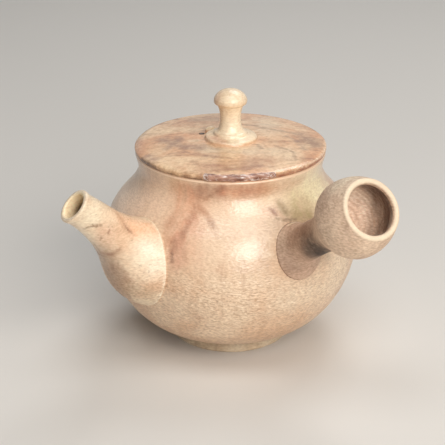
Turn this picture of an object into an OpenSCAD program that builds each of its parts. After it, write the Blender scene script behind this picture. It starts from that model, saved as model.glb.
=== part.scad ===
// Side-handle teapot in wood-fired stoneware: a round pot with a luted foot, spout, strainer and
// hollow handle, and a flat lid that lifts off. Every piece is thrown on its own and joined.
// The origin is the centre of the foot on the table. The spout points along -X.

/* [Pot] */
// Outside diameter at the belly
belly_d = 100; // [96:1:104]
// Height of the belly's widest line above the table
belly_z = 38.3; // [37:0.1:40]
// Outside diameter where the shoulder turns up into the neck
neck_d = 72.2; // [71:0.1:73]
// Height of that turn above the table
neck_z = 70.2; // [69:0.1:72]
// Height of the neck from the turn to the rim the lid rests on
neck_h = 7.4; // [6.5:0.1:8.5]
// Outside diameter of the rim
rim_d = 74.2; // [73.4:0.1:74.4]
// Thickness of the thrown wall
wall = 3; // [2.6:0.1:3.4]
// Thickness of the floor above the foot
floor_t = 3.3; // [2.8:0.1:4]

/* [Foot] */
// Outside diameter where the foot stands on the table
foot_d = 47; // [45:0.5:49]
// Height of the foot ring
foot_h = 4.9; // [4.4:0.1:5.4]
// Width of the foot ring
foot_w = 4.2; // [3.6:0.1:5]

/* [Spout] */
// Distance of the spout's tip from the pot's axis
spout_reach = 76.4; // [74:0.2:79]
// Height of the middle of the spout's mouth
spout_tip_z = 73.9; // [72:0.1:76]
// Height of the middle of the root on the pot's axis side
spout_root_z = 42.3; // [41:0.1:44]
// Rise of the spout where it leaves the pot, in degrees
spout_root_rise = 20; // [16:1:24]
// Rise of the spout at its tip, in degrees
spout_tip_rise = 36.6; // [33:0.2:40]
// Outside diameter of the swollen root
spout_root_d = 35.6; // [34:0.2:37]
// Outside diameter of the tube at the tip, behind the lip
spout_tip_d = 12.4; // [12:0.1:13.4]
// How far the lip flares out at the mouth
lip_flare = 0.5; // [0:0.1:0.8]
// Lean of the mouth towards the top of the spout, in degrees
mouth_lean = 7.2; // [0:0.2:12]
// Turn of the mouth towards the side away from the handle, in degrees
mouth_turn = 12.5; // [0:0.5:18]
// Wall of the spout at the root
spout_root_wall = 2.8; // [2.4:0.1:3.2]
// Wall of the spout at the tip
spout_tip_wall = 1.9; // [1.6:0.1:2.2]
// Diameter of the pour hole through the pot's wall
pour_d = 20; // [17:0.5:21]

/* [Strainer] */
// Outside diameter of the strainer dome
dome_d = 26; // [25.4:0.1:27]
// Thickness of the dome
dome_t = 2.2; // [1.8:0.1:2.3]
// Diameter of each pierced hole
pierce_d = 2; // [1.6:0.1:2.2]
// Rings of holes around the middle one
pierce_rings = 3; // [1:1:3]
// Angle between the rings, in degrees
pierce_step = 18; // [15:1:19]

/* [Handle] */
// Turn from the spout round to the handle, seen from above, in degrees
handle_turn = 80; // [74:1:92]
// Rise of the handle, in degrees
handle_rise = 34.7; // [32:0.1:37]
// Height where the handle's axis crosses the pot's axis
handle_cross_z = 20.5; // [18:0.1:23]
// Distance along the axis from that crossing to the handle's rim
handle_len = 107.7; // [105:0.1:110]
// Distance from the rim back to the waist
waist_back = 35.1; // [34:0.1:37]
// Distance from the rim back to the bulb's widest line
bulb_back = 11.3; // [10:0.1:12.5]
// Diameter of the flange luted to the wall
handle_root_d = 27; // [25:0.2:28.4]
// Diameter of the waist
waist_d = 13.7; // [12.8:0.1:15]
// Diameter of the bulb
bulb_d = 28.9; // [27.6:0.1:30]
// Outside diameter of the open end
handle_rim_d = 22.8; // [22:0.1:24]
// Inside diameter of the open end
handle_mouth_d = 18.4; // [17.4:0.1:19]
// Wall of the hollow bulb
bulb_wall = 2.7; // [2.3:0.1:3.1]
// Bore that runs on through the waist to the pot's wall
waist_bore_d = 7; // [6:0.2:7.6]

/* [Lid] */
// Diameter of the lid
lid_d = 74.9; // [74.5:0.1:76]
// Thickness of the lid at its edge
lid_t = 2.5; // [2.2:0.1:3]
// Rise of the lid's top from edge to middle
lid_dome = 1.7; // [0.8:0.1:2.4]
// Depth of the ring under the lid
flange_h = 6.5; // [5:0.1:8]
// Thickness of that ring
flange_t = 2.4; // [2:0.1:3]
// Gap between the ring and the inside of the neck
lid_gap = 0.5; // [0.3:0.05:0.8]
// Diameter of the air hole
vent_d = 2.4; // [1.8:0.1:3]
// Distance of the air hole from the middle
vent_r = 12.5; // [12.4:0.1:14]
// Direction of the air hole, in degrees from +X
vent_turn = 112; // [100:1:150]

/* [Knob] */
// Diameter of the knob's cap
knob_d = 12.9; // [12:0.1:14]
// Height of the knob above the lid's edge
knob_h = 21.8; // [20:0.1:23]
// Diameter of the stem at its narrowest
stem_d = 8; // [7.4:0.1:8.6]
// Diameter of the collar that is luted to the lid
collar_d = 21; // [20:0.1:22]
// Thickness of the collar at its edge
collar_t = 1.4; // [1:0.1:1.7]

/* [Hidden] */
$fn = 128;

clay = "#c9a27c";
pale_clay = "#d8bb92";
grey_clay = "#a98870";
cream_clay = "#e0c49c";
curve_steps = 14;
over = 1;

// Pot: radii and the two curves of its outline
belly_r = belly_d / 2;
neck_r = neck_d / 2;
rim_r = rim_d / 2;
rim_z = neck_z + neck_h;
foot_top_r = foot_d / 2 - 0.7;
base_rise = 8.7;
neck_rise = 74.5;
lower_curve = [
    [foot_top_r, foot_h],
    [foot_top_r, foot_h] + 0.39 * belly_r * along(base_rise),
    [belly_r, belly_z - 0.17 * belly_r],
    [belly_r, belly_z]
];
upper_curve = [
    [belly_r, belly_z],
    [belly_r, belly_z + 0.44 * belly_r],
    [neck_r, neck_z] - 0.233 * belly_r * along(180 - neck_rise),
    [neck_r, neck_z]
];
neck_bore_r = neck_r - wall;
floor_z = foot_h + floor_t;
rim_round = 0.9;

// Spout: its axis runs in the plane y = 0, as distance from the pot's axis and height
spout_root = [0.816 * belly_r, spout_root_z];
spout_tip = [spout_reach, spout_tip_z];
spout_len = norm(spout_tip - spout_root);
spout_axis = [
    spout_root,
    spout_root + 0.19 * spout_len * along(spout_root_rise),
    spout_tip - 0.357 * spout_len * along(spout_tip_rise),
    spout_tip
];
spout_sides = 40;
spout_rings = 20;
lip_round = spout_tip_wall * 0.3;
bell_middle = 0.4;
bell_rate = 8.8;
tube_taper = 1.9;
lip_share = 0.035;
mouth_share = 0.3;
pour_turn = 90 - spout_root_rise;
dome_r = dome_d / 2;
dome_in = belly_r - wall - 0.4 - spout_root.x;
dome_centre = spout_root + dome_in / cos(spout_root_rise) * along(spout_root_rise);

// Handle: outline along its own axis, as radius and distance from the pot's axis
handle_dir = 180 + handle_turn;
root_at = belly_r;
waist_at = handle_len - waist_back;
bulb_at = handle_len - bulb_back;
neck_len = waist_at - root_at;
swell_len = bulb_at - waist_at;
handle_rim_t = (handle_rim_d - handle_mouth_d) / 2;
flange_lean = 26;

// Lid
lid_r = lid_d / 2;
lid_round = lid_t * 0.42;
crown_steps = 6;
flange_r = neck_bore_r - lid_gap;
flange_edge = 0.6;
lid_top_z = rim_z + lid_t;
collar_r = collar_d / 2;
collar_z = lid_top_z + lid_dome;
stem_r = stem_d / 2;
cap_r = knob_d / 2;
cap_z = lid_top_z + knob_h - 0.72 * cap_r;
stem_top_z = cap_z - 0.26 * cap_r;
stem_flare = 1.1;
step_rise = 0.9;
step_round = 0.4;

// Unit vector at an angle above the horizontal
function along(a) = [cos(a), sin(a)];

// Point and direction on a cubic curve with control points p
function bez(p, t) =
    pow(1 - t, 3) * p[0] + 3 * pow(1 - t, 2) * t * p[1]
    + 3 * (1 - t) * t * t * p[2] + pow(t, 3) * p[3];
function bez_dir(p, t) =
    pow(1 - t, 2) * (p[1] - p[0]) + 2 * (1 - t) * t * (p[2] - p[1]) + t * t * (p[3] - p[2]);

// The points of a curve, and the same curve moved to its left by w
function curve(p, first = 0) =
    [for (i = [first : curve_steps]) bez(p, i / curve_steps)];
function inset(p, w, first = 0) =
    [for (i = [first : curve_steps])
        let (d = bez_dir(p, i / curve_steps))
        bez(p, i / curve_steps) + w * [-d.y, d.x] / norm(d)];

// Points of a round corner about c, from angle a0 to a1
function corner(c, r, a0, a1, n = 6) =
    [for (i = [0 : n]) c + r * along(a0 + (a1 - a0) * i / n)];
function reverse(v) = [for (i = [len(v) - 1 : -1 : 0]) v[i]];

// Height of the lid's gentle dome above its edge, at radius r: flat under the knob's collar
function lid_rise(r) = lid_dome * (1 - pow(max(0, r - collar_r) / (lid_r - collar_r), 2));

// Outside radius of the spout at t along its axis: a tapering tube, a swollen root and a lip
function spout_r(t) =
    spout_tip_d / 2 + tube_taper * (1 - t)
    + (spout_root_d / 2 - spout_tip_d / 2 - tube_taper) * 1.03 / (1 + exp(bell_rate * (t - bell_middle)))
    + lip_flare * exp(-pow((1 - t) / lip_share, 2));
function spout_wall(t) = spout_root_wall + (spout_tip_wall - spout_root_wall) * t;

// How far a point at t and angle a is moved along the axis, so that the mouth leans and turns
function mouth_shift(t, a) =
    -pow(max(0, 1 - (1 - t) / mouth_share), 2)
    * (tan(mouth_lean) * sin(a) + tan(mouth_turn) * cos(a));

// One ring of points round the spout's axis
function spout_ring(t, r) =
    let (c = bez(spout_axis, t), d = bez_dir(spout_axis, t), u = d / norm(d), n = [-u.y, u.x])
    [for (j = [0 : spout_sides - 1])
        let (a = 360 * j / spout_sides, p = c + r * (sin(a) * n + mouth_shift(t, a) * u))
        [-p.x, r * cos(a), p.y]];

// A smooth skin through a closed chain of rings, so that it is a tube with a wall
module tube_skin(rings) {
    n = len(rings[0]);
    all = n * len(rings);
    faces = [for (i = [0 : len(rings) - 1], j = [0 : n - 1])
        let (a = i * n + j, b = i * n + (j + 1) % n)
        each [[a, (b + n) % all, (a + n) % all], [a, b, (b + n) % all]]];
    polyhedron([for (r = rings) each r], faces);
}

// The whole outside of the pot as a solid, which the luted pieces are cut to fit
module pot_outside() {
    rotate_extrude()
        polygon(concat(
            [[0, foot_h]],
            curve(lower_curve),
            curve(upper_curve, 1),
            corner([rim_r - rim_round, rim_z - rim_round], rim_round, 0, 90),
            [[0, rim_z]]
        ));
}

// The room inside the pot, carried on past the rim
module pot_inside() {
    rotate_extrude()
        polygon(concat(
            [[0, floor_z]],
            inset(lower_curve, wall),
            inset(upper_curve, wall, 1),
            [
                [neck_bore_r, neck_z + 1],
                [neck_bore_r, rim_z - rim_round],
                [neck_bore_r + rim_round * 0.6, rim_z],
                [neck_bore_r + rim_round * 0.6, rim_z + over],
                [0, rim_z + over]
            ]
        ));
}

module pour_hole() {
    translate([-spout_root.x, 0, spout_root.y])
        rotate([0, -pour_turn, 0])
            cylinder(d = pour_d, h = spout_root_d * 0.6);
}

module pot_body() {
    color(clay)
        difference() {
            pot_outside();
            pot_inside();
            pour_hole();
        }
}

// A turned ring with a slightly flared side and softened edges
module foot_ring() {
    edge = 0.6;
    inner = foot_d / 2 - foot_w;
    color(cream_clay)
        rotate_extrude()
            polygon(concat(
                [[inner + edge, 0]],
                corner([foot_d / 2 - edge, edge], edge, -90, 20),
                [[foot_top_r, foot_h], [inner - 0.8, foot_h], [inner, edge]]
            ));
}

module spout() {
    ts = [for (i = [0 : spout_rings]) 1 - pow(1 - i / spout_rings, 1.25)];
    outside = [for (t = ts) spout_ring(t, spout_r(t))];
    channel = [for (t = ts) spout_ring(t, spout_r(t) - spout_wall(t))];
    lip_out = lip_round * [-cos(spout_tip_rise), 0, sin(spout_tip_rise)];
    lip = [for (inset = [lip_round, spout_tip_wall - lip_round])
        [for (p = spout_ring(1, spout_r(1) - inset)) p + lip_out]];
    color(pale_clay)
        difference() {
            tube_skin(concat(outside, lip, reverse(channel)));
            pot_outside();
        }
}

// A pierced half ball over the pour hole, cut to the curve of the inside wall
module strainer() {
    color(clay)
        translate([-dome_centre.x, 0, dome_centre.y])
            difference() {
                intersection() {
                    sphere(d = dome_d);
                    translate([dome_centre.x, 0, -dome_centre.y]) pot_inside();
                }
                sphere(r = dome_r - dome_t);
                for (ring = [0 : pierce_rings])
                    for (i = [0 : max(1, 6 * ring) - 1])
                        rotate([0, 180 - pour_turn, 0])
                            rotate([0, 0, 360 * i / max(1, 6 * ring)])
                                rotate([0, ring * pierce_step, 0])
                                    translate([0, 0, dome_r - dome_t - over])
                                        cylinder(d = pierce_d, h = dome_t + 2 * over);
            }
}

// The handle's own frame: its axis becomes +Z, measured from the pot's axis
module on_handle_axis() {
    translate([0, 0, handle_cross_z])
        rotate([0, 0, handle_dir])
            rotate([0, 90 - handle_rise, 0])
                children();
}

module side_handle() {
    root_r = handle_root_d / 2;
    waist_r = waist_d / 2;
    bulb_r = bulb_d / 2;
    rim_mid_r = (handle_rim_d + handle_mouth_d) / 4;
    cup_r = bulb_r - bulb_wall;
    bore_r = waist_bore_d / 2;
    flange_curve = [
        [root_r, root_at],
        [root_r, root_at] + 0.58 * neck_len * along(90 + flange_lean),
        [waist_r, waist_at - 0.67 * neck_len],
        [waist_r, waist_at]
    ];
    bulb_curve = [
        [waist_r, waist_at],
        [waist_r, waist_at + 0.59 * swell_len],
        [bulb_r, bulb_at - 0.25 * swell_len],
        [bulb_r, bulb_at]
    ];
    end_curve = [
        [bulb_r, bulb_at],
        [bulb_r, bulb_at + 0.58 * bulb_back],
        [handle_rim_d / 2 + 0.1 * bulb_back, handle_len - 0.14 * bulb_back],
        [handle_rim_d / 2, handle_len]
    ];
    cup_curve = [
        [bore_r, waist_at + 0.17 * swell_len],
        [bore_r, waist_at + 0.55 * swell_len],
        [cup_r, bulb_at - 0.32 * swell_len],
        [cup_r, bulb_at]
    ];
    mouth_curve = [
        [cup_r, bulb_at],
        [cup_r, bulb_at + 0.5 * bulb_back],
        [handle_mouth_d / 2, handle_len - 0.27 * bulb_back],
        [handle_mouth_d / 2, handle_len]
    ];
    color(grey_clay)
        difference() {
            on_handle_axis()
                rotate_extrude()
                    polygon(concat(
                        [[bore_r, root_at]],
                        curve(flange_curve),
                        curve(bulb_curve, 1),
                        curve(end_curve, 1),
                        corner([rim_mid_r, handle_len], handle_rim_t / 2, 20, 160),
                        reverse(curve(mouth_curve, 1)),
                        reverse(curve(cup_curve))
                    ));
            pot_outside();
        }
}

// A flat disc with a rounded edge, a gentle dome on top and one air hole
module lid_plate() {
    crown_w = lid_r - lid_round - collar_r;
    crown = [for (i = [0 : crown_steps])
        let (r = collar_r + crown_w * (1 - i / crown_steps))
        [r, lid_top_z + lid_rise(r)]];
    color(clay)
        difference() {
            rotate_extrude()
                polygon(concat(
                    [[0, rim_z]],
                    corner([lid_r - lid_round, rim_z + lid_round], lid_round, -90, 0),
                    corner([lid_r - lid_round, lid_top_z - lid_round], lid_round, 0, 70),
                    crown,
                    [[0, collar_z]]
                ));
            rotate([0, 0, vent_turn])
                translate([vent_r, 0, rim_z - over])
                    cylinder(d = vent_d, h = lid_t + lid_dome + 2 * over);
        }
}

// The ring that keeps the lid centred in the neck
module lid_flange() {
    color(pale_clay)
        rotate_extrude()
            polygon([
                [flange_r, rim_z],
                [flange_r, rim_z - flange_h + flange_edge],
                [flange_r - flange_edge, rim_z - flange_h],
                [flange_r - flange_t + flange_edge, rim_z - flange_h],
                [flange_r - flange_t, rim_z - flange_h + flange_edge],
                [flange_r - flange_t, rim_z]
            ]);
}

// Collar, waisted stem and mushroom cap, thrown in one
module lid_knob() {
    step_r = collar_r * 0.54;
    step_z = collar_z + collar_t + step_rise;
    waist_z = step_z + 0.4 * (stem_top_z - step_z);
    cap_top_z = lid_top_z + knob_h;
    stem_curve = [
        [step_r - step_round, step_z],
        [stem_r + 0.1 * stem_d, step_z + step_round],
        [stem_r, step_z + 0.35 * stem_d],
        [stem_r, waist_z]
    ];
    neck_curve = [
        [stem_r, waist_z],
        [stem_r, waist_z + 0.4 * stem_d],
        [stem_r + 0.6 * stem_flare, stem_top_z - 0.12 * stem_d],
        [stem_r + stem_flare, stem_top_z]
    ];
    under_curve = [
        [stem_r + stem_flare, stem_top_z],
        [0.86 * cap_r, stem_top_z + 0.08 * cap_r],
        [cap_r, cap_z - 0.22 * cap_r],
        [cap_r, cap_z]
    ];
    cap_curve = [
        [cap_r, cap_z],
        [cap_r, cap_z + 0.37 * cap_r],
        [0.55 * cap_r, cap_top_z],
        [0, cap_top_z]
    ];
    color(cream_clay)
        rotate_extrude()
            polygon(concat(
                [[0, collar_z]],
                corner([collar_r - collar_t / 2, collar_z + collar_t / 2], collar_t / 2, -90, 80),
                corner([step_r - step_round, step_z - step_round], step_round, 0, 90, 3),
                curve(stem_curve, 1),
                curve(neck_curve, 1),
                curve(under_curve, 1),
                curve(cap_curve, 1)
            ));
}

pot_body();
foot_ring();
spout();
strainer();
side_handle();
lid_plate();
lid_flange();
lid_knob();
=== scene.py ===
# %% [markdown]
# # A side-handle teapot in wood-fired stoneware
#
# The pot is thrown on a wheel in several pieces, which are joined with slip while the clay is still
# leather-hard: a round body on a foot ring, a spout, a hollow handle, and a lid with its knob. It is
# fired unglazed in a wood kiln, so all its colour comes from flame, ash and the sand in the clay.
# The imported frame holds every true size. This lesson lays finer clay over that frame, then fires it.

# %% Load the frame
import math

import bmesh
import bpy
import numpy as np
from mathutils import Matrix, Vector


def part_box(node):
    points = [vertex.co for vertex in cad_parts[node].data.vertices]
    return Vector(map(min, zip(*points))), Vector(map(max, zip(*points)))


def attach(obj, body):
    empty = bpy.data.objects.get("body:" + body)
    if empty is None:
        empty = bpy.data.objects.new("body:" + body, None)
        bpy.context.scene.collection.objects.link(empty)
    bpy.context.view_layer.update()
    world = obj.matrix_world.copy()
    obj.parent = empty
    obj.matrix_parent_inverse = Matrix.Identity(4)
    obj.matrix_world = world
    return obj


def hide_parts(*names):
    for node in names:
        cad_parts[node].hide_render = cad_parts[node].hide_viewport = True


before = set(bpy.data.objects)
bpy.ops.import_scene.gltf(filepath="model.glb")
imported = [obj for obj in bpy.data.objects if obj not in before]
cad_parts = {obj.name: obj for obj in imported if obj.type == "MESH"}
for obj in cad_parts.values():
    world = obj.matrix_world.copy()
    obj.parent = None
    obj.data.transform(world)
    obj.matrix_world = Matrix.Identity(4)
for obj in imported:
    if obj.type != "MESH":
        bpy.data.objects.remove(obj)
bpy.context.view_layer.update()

# %% [markdown]
# ## Sizes
#
# A node's box gives its largest sizes, so the pieces below take those from the frame. What a box can't
# say, such as where the shoulder turns into the neck, is a named size in millimetres. The part stands
# with its spout along -X, and the front that the photograph shows lies between spout and handle.

# %% Sizes from the frame, in millimetres
MM = 0.001


def node_box(name):
    return [np.array(corner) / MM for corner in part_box(name)]


pot_low, pot_high = node_box("pot_body")
belly_r, rim_z, foot_h = pot_high[0], pot_high[2], pot_low[2]
foot_r = node_box("foot_ring")[1][0]
# Degrees from +X round to the side that faces the camera.
front = -132.84
print(f"belly {2 * belly_r:.1f} mm, foot {2 * foot_r:.1f} mm, rim at {rim_z:.1f} mm")

# %% [markdown]
# ## Outlines and skins
#
# Everything on a wheel is an outline turned about an axis. A Bezier curve describes a thrown profile
# with four points, the way a potter's rib does with one edge. Blender's Screw modifier could turn the
# outline, but rows of points worked out here can also carry throwing lines and can be trimmed where
# one piece meets another, so one function simply lays quads over rows of points.

# %% Directions and curves
def heading(degrees):
    return np.array([math.cos(math.radians(degrees)), math.sin(math.radians(degrees))])


def unit(vectors):
    return vectors / np.linalg.norm(vectors, axis=-1)[..., None]


def full_turn(count, start=0.0):
    return np.linspace(start, start + 2 * math.pi, count, endpoint=False)


def waves(turn, *each):
    """Waves round a piece, each with a height in millimetres, a count and a start."""
    return sum(high * np.sin(count * turn + start) for high, count, start in each)


def on_bezier(points, t):
    """The places at t, from 0 to 1, on the curve that four points describe."""
    a, b, c, d = (np.asarray(p, float) for p in points)
    t = t[..., None]
    return (1 - t) ** 3 * a + 3 * (1 - t) ** 2 * t * b + 3 * (1 - t) * t**2 * c + t**3 * d


# %% Outline helpers
SAME = 1e-6


def arc(centre, radius, start, end, steps):
    turns = np.linspace(start, end, steps + 1)
    return np.array([np.asarray(centre) + radius * heading(turn) for turn in turns])


def chain(*runs):
    """Runs of outline points end to end, without the repeats where two runs meet."""
    points = np.concatenate([np.atleast_2d(np.asarray(run, float)) for run in runs])
    moved = np.linalg.norm(np.diff(points, axis=0), axis=1) > SAME
    return points[np.concatenate([[True], moved])]


def profile(start, *runs):
    """Bezier curves end to end. A run has two handles, an end and a number of steps."""
    curves = []
    for first, second, end, steps in runs:
        curves.append(on_bezier((start, first, second, end), np.linspace(0, 1, steps + 1)))
        start = end
    return chain(*curves)


def filled(outline, spacing):
    """The outline with extra points, so that no two are further apart than spacing."""
    run = [outline[0]]
    for start, end in zip(outline[:-1], outline[1:]):
        steps = max(1, math.ceil(np.linalg.norm(end - start) / spacing))
        run += [start + (end - start) * i / steps for i in range(1, steps + 1)]
    return np.array(run)


def left_of(run):
    """Directions square to an outline, to its left, which is inwards when it climbs."""
    way = unit(np.gradient(run, axis=0))
    return np.stack([-way[:, 1], way[:, 0]], axis=1)


# %% Skin helper
WELD = 0.0002 * MM
SHARP = math.radians(38)


def skin(name, rows, loop=False):
    """Quads over rows of points in millimetres. A row that is one point closes an end."""
    rows = np.asarray(rows, float)
    count, around = rows.shape[:2]
    here = np.arange(around)
    beside = (here + 1) % around
    strips = []
    for i in range(count if loop else count - 1):
        a, b = i * around, (i + 1) % count * around
        strips.append(np.stack([a + here, a + beside, b + beside, b + here], axis=1))
    mesh = bpy.data.meshes.new(name)
    mesh.from_pydata((rows.reshape(-1, 3) * MM).tolist(), [], np.concatenate(strips).tolist())
    clay = bmesh.new()
    clay.from_mesh(mesh)
    bmesh.ops.remove_doubles(clay, verts=clay.verts, dist=WELD)
    bmesh.ops.recalc_face_normals(clay, faces=clay.faces)
    clay.to_mesh(mesh)
    clay.free()
    mesh.shade_smooth()
    mesh.set_sharp_from_angle(angle=SHARP)
    piece = bpy.data.objects.new(name, mesh)
    bpy.context.scene.collection.objects.link(piece)
    return piece


# %% Turning and placing
# Quads round a wide, a middling and a narrow piece.
WIDE, MIDDLING, NARROW = 288, 224, 160


def turned(outline, around, touch=None):
    """Rows for an outline of radius and height turned about Z. touch moves the clay outwards."""
    turn = full_turn(around)[None]
    radius, height = outline[:, :1], outline[:, 1:]
    if touch:
        radius = radius + touch(turn, radius, height) * np.minimum(1, radius)
    return np.stack([radius * np.cos(turn), radius * np.sin(turn), height + 0 * turn], axis=-1)


def place(piece, body, node, slot):
    """The piece rides on a body and stands for a CAD node, which it hides. slot is not used."""
    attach(piece, body)
    if node:
        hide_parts(node)
    print(f"{piece.name}: {len(piece.data.polygons)} faces")
    return piece


# %% [markdown]
# ## The pot
#
# The body is one thrown form: a flat floor, a low full belly, a shoulder that leans in, and a short neck
# that opens a little to the rim. Two Bezier curves give belly and shoulder, and a third gives the neck.
# The first two, moved in by the wall's thickness, give the inside. The potter's finger leaves a shallow
# spiral that climbs with each turn, so the radius carries a faint wave, which is what breaks up the
# highlight on real clay.

# %% Outside of the pot
belly_z = 38.3
neck_r, neck_z = 36.1, 70.2
rim_r, rim_drop = 37.2, 0.8
crease_r = foot_r - 0.7
# Slopes at foot and neck in degrees, and how far the curves keep their way, as shares of the belly's radius.
foot_slope, neck_slope = 8.7, 105.5
foot_pull, belly_drop, belly_lift, neck_pull = 0.39, 0.17, 0.44, 0.233

crease = np.array([crease_r, foot_h])
neck_base = np.array([neck_r, neck_z])
lower = [
    crease + foot_pull * belly_r * heading(foot_slope),
    (belly_r, belly_z - belly_drop * belly_r),
    (belly_r, belly_z),
]
upper = [
    (belly_r, belly_z + belly_lift * belly_r),
    neck_base - neck_pull * belly_r * heading(neck_slope),
    neck_base,
]
neck = [(neck_r - 0.25, neck_z + 2.6), (rim_r - 0.5, rim_z - 3.2), (rim_r, rim_z - rim_drop)]
outside = profile(crease, (*lower, 70), (*upper, 80), (*neck, 16))
print(len(outside), "points outside")


def pot_radius(height):
    return np.interp(height, outside[:, 1], outside[:, 0])


def pot_normal(points, near=0.2):
    """The outward direction of the pot's outside at these points."""
    slope = (pot_radius(points[..., 2] + near) - pot_radius(points[..., 2] - near)) / (2 * near)
    away = np.hypot(points[..., 0], points[..., 1])
    return unit(np.stack([points[..., 0] / away, points[..., 1] / away, -slope], axis=-1))


# %% Rim and inside
wall, floor_t = 3.0, 3.3
rim_round = 0.9
bore_r = neck_r - wall
inside = profile(crease, (*lower, 40), (*upper, 50))
inside = inside + wall * left_of(inside)
rim = chain(
    arc((rim_r - rim_round, rim_z - rim_round), rim_round, 0, 90, 6),
    arc((bore_r + rim_round, rim_z - rim_round), rim_round, 90, 180, 6),
)
inner_run = chain([(bore_r, neck_z + 1)], inside[::-1], [(0, foot_h + floor_t)])
pot_outline = chain([(0, foot_h)], outside, rim, filled(inner_run, 2.0))
print(len(pot_outline), "points in the pot's outline")

# %% Cutters
drill_sides, drill_start = 48, 0.05


def cut(piece, cutter):
    """Takes the cutter's shape out of the piece for good."""
    step = piece.modifiers.new("cut", "BOOLEAN")
    step.object = cutter
    step.operation = "DIFFERENCE"
    step.solver = "EXACT"
    ready = piece.evaluated_get(bpy.context.evaluated_depsgraph_get())
    mesh = bpy.data.meshes.new_from_object(ready)
    piece.modifiers.clear()
    clay = bmesh.new()
    clay.from_mesh(mesh)
    bmesh.ops.remove_doubles(clay, verts=clay.verts, dist=5 * WELD)
    clay.to_mesh(mesh)
    clay.free()
    piece.data = mesh
    bpy.data.objects.remove(cutter)


def drill(name, foot, way, radius, length):
    """A round cutter that starts at foot and runs along way, which is square to Y."""
    along = unit(np.asarray(way, float))
    side = unit(np.cross(along, (0, 1, 0)))
    turn = full_turn(drill_sides, drill_start)[:, None]
    ring = radius * (np.cos(turn) * side + np.sin(turn) * np.cross(along, side))
    start = np.asarray(foot, float)
    end = start + length * along
    return skin(name, [start + 0 * ring, start + ring, start + ring + length * along, end + 0 * ring])


# %% Turn the pot and cut its pour hole
throw_pitch, throw_depth = 5.4, 0.035
foot_calm, neck_calm = 10, 8
spout_root = np.array([0.816 * belly_r, 42.3])
root_rise = 20.0
pour_r, pour_deep = 10.0, 20


def throwing(turn, radius, height):
    """A spiral ridge and a slight oval, both gone at the foot and at the neck."""
    climb = np.clip((height - foot_h) / foot_calm, 0, 1) * np.clip((neck_z - 2 - height) / neck_calm, 0, 1)
    ridge = waves(turn, (throw_depth, 1, 2 * math.pi * height / throw_pitch))
    return climb * (ridge + waves(turn, (0.05, 3, 0.09 * height), (0.04, 2, -0.05 * height)))


pot = skin("pot", turned(pot_outline, WIDE, throwing))
rise = heading(root_rise)
pour_foot, pour_way = (-spout_root[0], 0, spout_root[1]), (-rise[0], 0, rise[1])
cut(pot, drill("pour_cutter", pour_foot, pour_way, pour_r, pour_deep))
place(pot, "pot", "pot_body", "stoneware_body")

# %% [markdown]
# ## The foot ring
#
# The ring under the pot is turned on the wheel when the clay is leather-hard: a slightly flared wall
# with a crease where it meets the belly. It is a closed outline turned once round.

# %% Turn the foot
foot_w, foot_edge = 4.2, 0.7
foot_in = foot_r - foot_w
tuck = foot_h + 0.15
foot_outline = chain(
    arc((foot_in + foot_edge, foot_edge), foot_edge, 180, 270, 6),
    arc((foot_r - foot_edge, foot_edge), foot_edge, -90, 10, 8),
    [(crease_r - 0.25, foot_h - 0.9), (crease_r - 0.35, tuck), (foot_in - 0.8, tuck)],
)


def worn(turn, radius, height):
    return waves(turn, (0.05, 5, height), (0.04, 9, 1.3))


foot = skin("foot", turned(filled(foot_outline, 0.6), MIDDLING, worn), loop=True)
place(foot, "pot", "foot_ring", "stoneware_foot")

# %% [markdown]
# ## Luted seams
#
# Spout and handle are thrown apart, cut to the curve of the pot and luted on with slip. Each line of points
# on such a piece runs down to where it meets the pot, stands there half a millimetre proud, and turns under,
# which makes the thin edge of the seam. A boolean would join the meshes, but it leaves no edge that holds
# shade. A little slip squeezes out below the edge, and that is a thin tube.

# %% Seam helpers
seam_proud, seam_under, seam_deep = 0.5, 0.6, 0.8
seam_edge, seam_gap = 0.16, 0.06
bead_r, bead_sunk, bead_sides = 0.28, 0.08, 8


def meeting(points_at, start, end, turn, proud):
    """For each turn, the place from start to end where a line of points leaves the pot's skin."""
    places = np.linspace(start, end, 400)
    points = points_at(places[:, None] + 0 * turn, turn + 0 * places[:, None])
    gap = np.hypot(points[..., 0], points[..., 1]) - pot_radius(points[..., 2]) - proud
    last = len(places) - 2 - np.argmax(gap[-2::-1] < 0, axis=0)
    here, there = (np.take_along_axis(gap, last[None] + step, axis=0)[0] for step in (0, 1))
    return places[last] + (places[1] - places[0]) * here / (here - there)


def luted(name, outer_rows, end_rows, inner_rows):
    """A hollow piece on the pot: buried foot, undercut, thin lip, outside, rolled end and inside."""
    edge = outer_rows[0]
    out = pot_normal(edge)
    across = inner_rows[-1] - edge
    across = unit(across - (across * out).sum(axis=-1)[..., None] * out)
    foot = edge - (seam_proud + seam_deep) * out + seam_under * across
    under = edge - (seam_proud - seam_gap) * out + seam_under * across
    lip = edge - seam_edge * out
    inner_foot = inner_rows[-1] - seam_deep * pot_normal(inner_rows[-1])
    return skin(name, [foot, under, lip, *outer_rows, *end_rows, *inner_rows, inner_foot], loop=True)


def slip_bead(name, edge):
    """A thin thread of squeezed slip that lies on the pot under the lip of a seam."""
    out = pot_normal(edge)
    side = unit(np.cross(np.roll(edge, -1, axis=0) - np.roll(edge, 1, axis=0), out))
    thick = bead_r * (1 + 0.25 * np.sin(np.arange(len(edge)) * 1.7))[:, None]
    middle = edge - (seam_proud - bead_sunk) * out
    rings = [middle + thick * (math.cos(a) * side + math.sin(a) * out) for a in full_turn(bead_sides)]
    return place(skin(name, np.stack(rings, axis=1), loop=True), "pot", None, "stoneware_body")


# %% [markdown]
# ## The spout
#
# A spout is thrown as a small bell and bent while soft. Its axis is a gentle curve, and circles of a
# changing radius ride along it: a tapering tube, a swollen root, and a small lip. A curve with a bevel
# would give a tube, but not a mouth that was cut aslant, so the circles lean a little towards the tip.

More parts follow.
